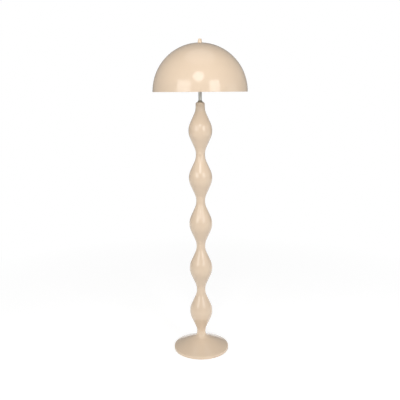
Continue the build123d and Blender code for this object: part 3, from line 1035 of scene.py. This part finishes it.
def make_dome():
    """The spun dome: lacquer outside and on its rolled rim, white enamel inside."""
    inner = shade_radius - shade_wall
    top = degrees(pi / 2 - crown_radius / shade_radius)
    roll = 0.6 * MM
    dome = turned(
        "dome",
        [
            *arc((shade_radius - roll, rim_height + roll), roll, 270, 330, 3),
            *arc((0, rim_height), shade_radius, 0.4, top, 64),
            (bore_radius, crown_height),
            (bore_radius, crown_height - shade_wall),
            *arc((0, rim_height), inner, top, 0.7, 60),
            (shade_radius - rim_lip, rim_height + shade_wall),
            *arc((shade_radius - rim_lip, rim_height + roll), roll, 90, 270, 5),
        ],
        around=256,
    )
    soften(dome, fine_round, 2, 40)
    dress(dome, "shade", "lacquer", lacquer, "shade")
    dome.data.materials.append(dome_enamel)
    middle = Vector((0, 0, rim_height))
    for face in dome.data.polygons:
        looks_in = face.normal.dot((face.center - middle).normalized()) < -0.5
        face.material_index = int(looks_in and face.center.z > rim_height + shade_wall)


def make_finial():
    foot, top = low("finial").z, high("finial").z
    radius, neck = high("finial").x, 8 * MM
    rounding, depth = 3 * MM, 12 * MM
    finial = turned(
        "finial_knob",
        [
            (thread_hole, foot),
            (radius, foot),
            (radius, foot + 2 * MM),
            *arc((neck - rounding, top - rounding), rounding, 8, 90, 14),
            (0, top),
            (0, foot + depth),
            (thread_hole, foot + depth),
        ],
    )
    soften(finial, lacquer_round)
    dress(finial, "finial", "lacquer", lacquer, "finial")


def make_finial_washer():
    foot, top = low("finial_washer").z, high("finial_washer").z
    radius = high("finial_washer").x
    washer = turned(
        "nylon_ring", [(bore_radius, foot), (radius, foot), (radius, top), (bore_radius, top)]
    )
    soften(washer)
    dress(washer, "finial_washer", "nylon", nylon, "finial_washer")


# ---- The lamp ------------------------------------------------------------------------------

make_foot_cover()
make_felt()
make_clamp_washer()
hex_nut("clamp_nut", "base_nut", "stand")
make_bush()
make_stem_sections()
make_stem_cap()
make_ferrule()
make_upper_rod()
make_junction()
hex_nut("junction_lock_nut", "junction_nut", "stand")
for side in ARMS:
    make_holder_cap(side)
    make_holder_sleeve(side)
    make_bulb_cap(side)
    make_bulb_glass(side)
make_centre_rod()
make_seat()
hex_nut("seat_lock_nut", "seat_nut", "stand")
make_dome()
make_finial()
make_finial_washer()

# Pieces inside the lamp, whose shape in the frame is already right.
HIDDEN = {
    zinc: ["base_plate", "base_screws", "base_spacer", "tie_rod", "arm_nipples", "arm_nuts"],
    cast_iron: ["base_weight"],
    porcelain: ["terminal_block", "insulator_left", "insulator_right"],
    brass: [
        "screw_shell_left",
        "screw_shell_right",
        "centre_contact_left",
        "centre_contact_right",
    ],
}
for material, names in HIDDEN.items():
    for name in names:
        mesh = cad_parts[name].data
        mesh.materials.clear()
        mesh.materials.append(material)


# ---- Studio --------------------------------------------------------------------------------


def make_camera():
    """A 48 mm lens at the height of the shade's rim, 2.57 m in front of the lamp."""
    aside, distance = -0.0033, 2.567
    tilt, roll = radians(78.48), radians(-0.31)  # from straight down, and about the line of sight
    data = bpy.data.cameras.new("camera")
    data.lens = 47.74
    data.sensor_width = 36
    camera = bpy.data.objects.new("camera", data)
    bpy.context.collection.objects.link(camera)
    camera.matrix_world = (
        Matrix.Translation((aside, -distance, rim_height))
        @ Matrix.Rotation(tilt, 4, "X")
        @ Matrix.Rotation(roll, 4, "Z")
    )
    bpy.context.scene.camera = camera


def softbox(name, place, aim, size, radiance, shape="RECTANGLE"):
    """A flat lamp with a given brightness of its face."""
    data = bpy.data.lights.new(name, "AREA")
    data.shape = shape
    data.size, data.size_y = size
    area = size[0] * size[1] * (pi / 4 if shape == "ELLIPSE" else 1)
    data.energy = radiance * pi * area
    lamp = bpy.data.objects.new(name, data)
    bpy.context.collection.objects.link(lamp)
    lamp.location = place
    lamp.rotation_euler = (Vector(aim) - Vector(place)).to_track_quat("-Z", "Y").to_euler()


def make_lights():
    """A round key light above, a window each side in front, and a faint card at the right."""
    rim, middle = (0, 0, 1.3), (0, 0, 0.95)
    softbox("key_octabox", (-0.17, -2.60, 3.09), rim, (1.3, 1.3), 4.6, "ELLIPSE")
    softbox("left_softbox", (-1.62, -2.08, 1.80), rim, (1.5, 1.35), 3.0)
    softbox("right_softbox", (1.46, -2.20, 1.80), rim, (1.1, 1.35), 3.8)
    softbox("right_card", (2.30, -0.50, 0.95), middle, (1.3, 1.9), 0.6)


def seen_directly(tree):
    """1 for rays from the camera, off metal and gloss, and through glass; 0 for lighting."""
    rays = add(tree, "ShaderNodeLightPath").outputs
    seen = reckon(tree, "MAXIMUM", rays["Is Camera Ray"], rays["Is Glossy Ray"])
    return reckon(tree, "MAXIMUM", seen, rays["Is Transmission Ray"])


def make_world():
    """White to look at, and a soft fill to light by: faint overhead, strong at the horizon."""
    world = bpy.data.worlds.new("studio")
    bpy.context.scene.world = world
    world.use_nodes = True
    tree = world.node_tree
    tree.nodes.clear()
    direction = add(tree, "ShaderNodeTexCoord").outputs["Generated"]
    up = add(tree, "ShaderNodeSeparateXYZ", {0: direction}).outputs["Z"]
    overhead, gain = 0.14, 1.45
    level = reckon(tree, "POWER", remap(tree, up, 1, 0, 0, 1), 2)
    strength = reckon(tree, "MULTIPLY_ADD", level, gain, overhead)
    white = (1, 1, 1, 1)
    fill = add(tree, "ShaderNodeBackground", {"Color": white, "Strength": strength}).outputs[0]
    backdrop = add(tree, "ShaderNodeBackground", {"Color": white}).outputs[0]
    shown = add(tree, "ShaderNodeMixShader", {0: seen_directly(tree), 1: fill, 2: backdrop})
    add(tree, "ShaderNodeOutputWorld", {"Surface": shown.outputs[0]})


def pale_floor():
    """Pale floor paint, which away from the lamp fades into the white of the studio."""
    material = bpy.data.materials.new("pale_floor")
    material.use_nodes = True
    tree = material.node_tree
    shader = tree.nodes["Principled BSDF"]
    place = add(tree, "ShaderNodeTexCoord").outputs["Object"]
    distance = add(tree, "ShaderNodeVectorMath", {0: place}, operation="LENGTH").outputs["Value"]
    fade_start, fade_end = 0.5, 2.2
    near = remap(tree, distance, 1, 0, fade_start, fade_end)
    paint = blend(tree, near, (0, 0, 0, 1), (0.76, 0.76, 0.76, 1))
    glow = remap(tree, near, 1, 0.56, 0, 1)
    shown = reckon(tree, "MULTIPLY", glow, seen_directly(tree))
    tree.links.new(paint, shader.inputs["Base Color"])
    tree.links.new(shown, shader.inputs["Emission Strength"])
    shader.inputs["Emission Color"].default_value = (1, 1, 1, 1)
    shader.inputs["Roughness"].default_value = 0.95
    shader.inputs["Specular IOR Level"].default_value = 0
    return material


def make_floor():
    bpy.ops.object.select_all(action="DESELECT")
    bpy.ops.mesh.primitive_circle_add(
        vertices=96, radius=12, fill_type="NGON", location=(0, 0, -0.2 * MM)
    )
    floor = bpy.context.object
    floor.name = "floor"
    floor.data.materials.append(pale_floor())


def grey_wall():
    """An even grey glow that takes no light."""
    material = bpy.data.materials.new("grey_wall")
    material.use_nodes = True
    shader = material.node_tree.nodes["Principled BSDF"]
    shader.inputs["Base Color"].default_value = (0, 0, 0, 1)
    shader.inputs["Specular IOR Level"].default_value = 0
    shader.inputs["Emission Color"].default_value = (1, 1, 1, 1)
    shader.inputs["Emission Strength"].default_value = 0.25
    return material


def make_walls():
    """Grey studio walls all round the lamp, that only gloss and metal show."""
    bpy.ops.object.select_all(action="DESELECT")
    bpy.ops.mesh.primitive_cylinder_add(
        vertices=96, radius=5, depth=12, end_fill_type="NOTHING", location=(0, 0, 6)
    )
    walls = bpy.context.object
    walls.name = "studio_walls"
    walls.data.materials.append(grey_wall())
    for rays in ("camera", "diffuse", "transmission", "volume_scatter", "shadow"):
        setattr(walls, f"visible_{rays}", False)


make_camera()
make_lights()
make_world()
make_floor()
make_walls()
bpy.context.scene.view_settings.view_transform = "Standard"
